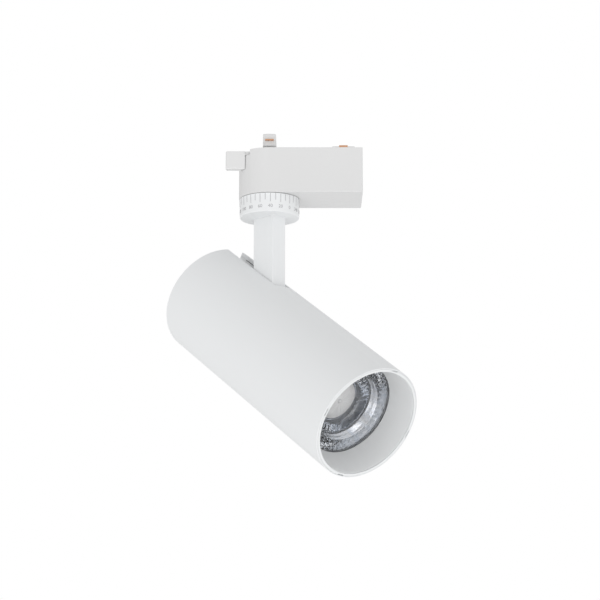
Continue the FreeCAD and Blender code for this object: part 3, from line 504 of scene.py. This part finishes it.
def dome_rows():
    """The centre lens, from its small nub out to its edge."""
    rise = DOME_EDGE - DOME_TOP
    sphere = (DOME_R**2 + rise**2) / (2 * rise)
    rows = []
    for step in range(1, NUB_STEPS):
        angle = step / NUB_STEPS * math.pi / 2
        rows.append(Row(DOME_TOP - NUB_HEIGHT * math.cos(angle), NUB_R * math.sin(angle), DOME))
    for step in range(DOME_STEPS):
        share = step / DOME_STEPS
        radius = NUB_R + (DOME_R - NUB_R) * share
        back = DOME_TOP + sphere - math.sqrt(sphere**2 - radius**2)
        rows.append(Row(back, radius, DOME, share, DOME_RIDGES, DOME_RIDGE_HEIGHT))
    return rows


def band(start, end, steps, kind, ridges=0, height=0.0):
    """Rows of the profile from one (back, radius) to another, leaving out the last."""
    rows = []
    for step in range(steps):
        share = step / steps
        back = start[0] + (end[0] - start[0]) * share
        radius = start[1] + (end[1] - start[1]) * share
        rows.append(Row(back, radius, kind, share, ridges, height))
    return rows


def lens_profile():
    """Rows from the front centre, over the stepped front, down the side and into the cavity behind."""
    course = [
        ((DOME_EDGE, DOME_R), 1, SEAM),
        ((DOME_EDGE + SEAM_DROP, DOME_R + SEAM_WIDTH), 4, WALL),
        ((LENS_INNER, LENS_INNER_R), 6, FACETS, INNER_RIDGES, INNER_RIDGE_HEIGHT),
        ((LENS_RECESS, LENS_RECESS_R - SEAM_WIDTH), 1, SEAM),
        ((LENS_RECESS, LENS_RECESS_R), 5, WALL),
        ((LENS_STEP, LENS_STEP_R), 8, FACETS, OUTER_RIDGES, OUTER_RIDGE_HEIGHT),
        ((LENS_FRONT, LENS_OUTER_R), 1, WALL),
        ((LENS_FRONT, LENS_FLANGE_R), 1, WALL),
        ((LENS_FLANGE_BACK, LENS_FLANGE_R), 1, WALL),
        ((LENS_SIDE, LENS_SIDE_R), 6, SIDE),
        ((LENS_REAR, LENS_REAR_R), 1, WALL),
        ((LENS_REAR, CAVITY_R), 1, WALL),
        ((CAVITY_TOP, CAVITY_R), 1, WALL),
    ]
    ends = [start for start, *_ in course[1:]] + [(CAVITY_POINT, 0)]
    rows = dome_rows()
    for (start, *form), end in zip(course, ends):
        rows += band(start, end, *form)
    return rows


def ridge_shift(row, segment, tilts):
    """How far a facet stands forward of the plain profile at one place."""
    if not row.ridges:
        return 0.0
    per_ridge = LENS_SEGMENTS // row.ridges
    ridge, phase = divmod(segment, per_ridge)
    roof = 1 - abs(2 * phase / per_ridge - 1)
    fade = math.sin(math.pi * row.share) ** 0.5 if row.kind == FACETS else row.share
    tilt = tilts[ridge] if row.kind == FACETS else 0.0
    return row.height * fade * (roof + tilt * (row.share - 0.5))


def lens_points(rows):
    """The front centre, a ring of points for each row, and the cavity's centre."""
    dice = random.Random(FACET_SEED)
    tilts = [dice.uniform(-1.0, 1.0) for _ in range(LENS_SEGMENTS)]
    points = [Vector((0, 0, NUB_HEIGHT - DOME_TOP))]
    for row in rows:
        for segment in range(LENS_SEGMENTS):
            angle = 2 * math.pi * segment / LENS_SEGMENTS
            forward = ridge_shift(row, segment, tilts) - row.back
            points.append(Vector((row.radius * math.sin(angle), row.radius * math.cos(angle), forward)))
    points.append(Vector((0, 0, -CAVITY_POINT)))
    return points


def lens_faces(rows):
    """Each face's points, kind and corners on the lens's own map."""
    faces = []
    last = len(rows) - 1
    cavity_centre = 1 + len(rows) * LENS_SEGMENTS

    def point(row, segment):
        return 1 + row * LENS_SEGMENTS + segment % LENS_SEGMENTS

    for segment in range(LENS_SEGMENTS):
        u0, u1 = segment / LENS_SEGMENTS, (segment + 1) / LENS_SEGMENTS
        faces.append(((0, point(0, segment + 1), point(0, segment)), DOME, ((u0, 0), (u1, 0), (u0, 0))))
        for row in range(last):
            v0, v1 = row / len(rows), (row + 1) / len(rows)
            near = (point(row, segment), point(row, segment + 1))
            far = (point(row + 1, segment + 1), point(row + 1, segment))
            faces.append((near + far, rows[row].kind, ((u0, v0), (u1, v0), (u1, v1), (u0, v1))))
        rear = (cavity_centre, point(last, segment), point(last, segment + 1))
        faces.append((rear, WALL, ((u0, 1), (u0, 1), (u1, 1))))
    return faces


def faceted_lens(materials):
    """The stepped lens: centre dome, two faceted rings with clear walls between, side and cavity."""
    rows = lens_profile()
    faces = lens_faces(rows)
    piece = new_piece("faceted_lens", lens_points(rows), [points for points, _, _ in faces], HEAD)
    layer = piece.data.uv_layers.new(name="profile")
    for polygon, (_, kind, corners) in zip(piece.data.polygons, faces):
        polygon.material_index = kind
        polygon.use_smooth = kind != FACETS
        for loop, corner in zip(polygon.loop_indices, corners):
            layer.data[loop].uv = corner
    for material in (lens_facets(), materials["lens_clear"], lens_dome(), lens_seam(), lens_side()):
        piece.data.materials.append(material)
    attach(piece, "head")
    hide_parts("optic_lens")


# ---------------------------------------------------------------- stage


def add_floor():
    """White paper far below, left out of what lights the part and of what its gloss shows."""
    ways = ((-1, -1), (1, -1), (1, 1), (-1, 1))
    corners = [(FLOOR_HALF * x, FLOOR_HALF * y, FLOOR_Z) for x, y in ways]
    floor = new_piece("floor", corners, [(0, 1, 2, 3)])
    s = Surface("floor_paper", Roughness=0.9)
    s.mottle(s.noise(3.0), (0.93, 0.93, 0.93), (0.95, 0.95, 0.95))
    floor.data.materials.append(s.material)
    floor.visible_diffuse = False
    floor.visible_glossy = False


def add_area_light(name, place, target, size, power):
    light = bpy.data.lights.new(name, "AREA")
    light.shape = "DISK"
    light.size = size
    light.energy = power
    holder = bpy.data.objects.new(name, light)
    holder.location = place
    holder.rotation_euler = (Vector(target) - Vector(place)).to_track_quat("-Z", "Y").to_euler()
    bpy.context.scene.collection.objects.link(holder)


def add_world():
    """Even white surroundings that are a little brighter from below and in front."""
    world = bpy.data.worlds.new("studio")
    world.use_nodes = True
    tree = world.node_tree
    tree.nodes.clear()
    place = tree.nodes.new("ShaderNodeTexCoord")
    dot = tree.nodes.new("ShaderNodeVectorMath")
    dot.operation = "DOT_PRODUCT"
    dot.inputs[1].default_value = SKY_BRIGHT_WAY
    ramp = tree.nodes.new("ShaderNodeMapRange")
    ramp.inputs["From Min"].default_value = -1.0
    ramp.inputs["From Max"].default_value = 1.0
    ramp.inputs["To Min"].default_value = SKY_DIMMEST
    ramp.inputs["To Max"].default_value = SKY_BRIGHTEST
    lighting = tree.nodes.new("ShaderNodeBackground")
    backdrop = tree.nodes.new("ShaderNodeBackground")
    backdrop.inputs["Color"].default_value = (1.0, 1.0, 1.0, 1.0)
    rays = tree.nodes.new("ShaderNodeLightPath")
    mix = tree.nodes.new("ShaderNodeMixShader")
    out = tree.nodes.new("ShaderNodeOutputWorld")
    tree.links.new(place.outputs["Generated"], dot.inputs[0])
    tree.links.new(dot.outputs["Value"], ramp.inputs["Value"])
    tree.links.new(ramp.outputs["Result"], lighting.inputs["Strength"])
    tree.links.new(rays.outputs["Is Camera Ray"], mix.inputs["Fac"])
    tree.links.new(lighting.outputs["Background"], mix.inputs[1])
    tree.links.new(backdrop.outputs["Background"], mix.inputs[2])
    tree.links.new(mix.outputs["Shader"], out.inputs["Surface"])
    bpy.context.scene.world = world


def add_camera():
    camera = bpy.data.cameras.new("camera")
    camera.lens = CAMERA_LENS
    camera.clip_end = CAMERA_REACH
    holder = bpy.data.objects.new("camera", camera)
    holder.location = CAMERA_AT
    holder.rotation_euler = (math.radians(90 + CAMERA_PITCH), 0, 0)
    bpy.context.scene.collection.objects.link(holder)
    bpy.context.scene.camera = holder


materials = slot_materials()
dress_cad_nodes(materials)
dial_scale(printed_ink())
faceted_lens(materials)
add_floor()
add_world()
add_area_light("front_fill", (0.9, -1.6, -0.5), target=(0.0, 0.0, -0.12), size=0.8, power=2.0)
add_area_light("under_fill", (-0.5, -0.9, -0.95), target=(0.0, 0.0, -0.1), size=1.2, power=3.2)
add_camera()
bpy.context.scene.view_settings.view_transform = "Standard"
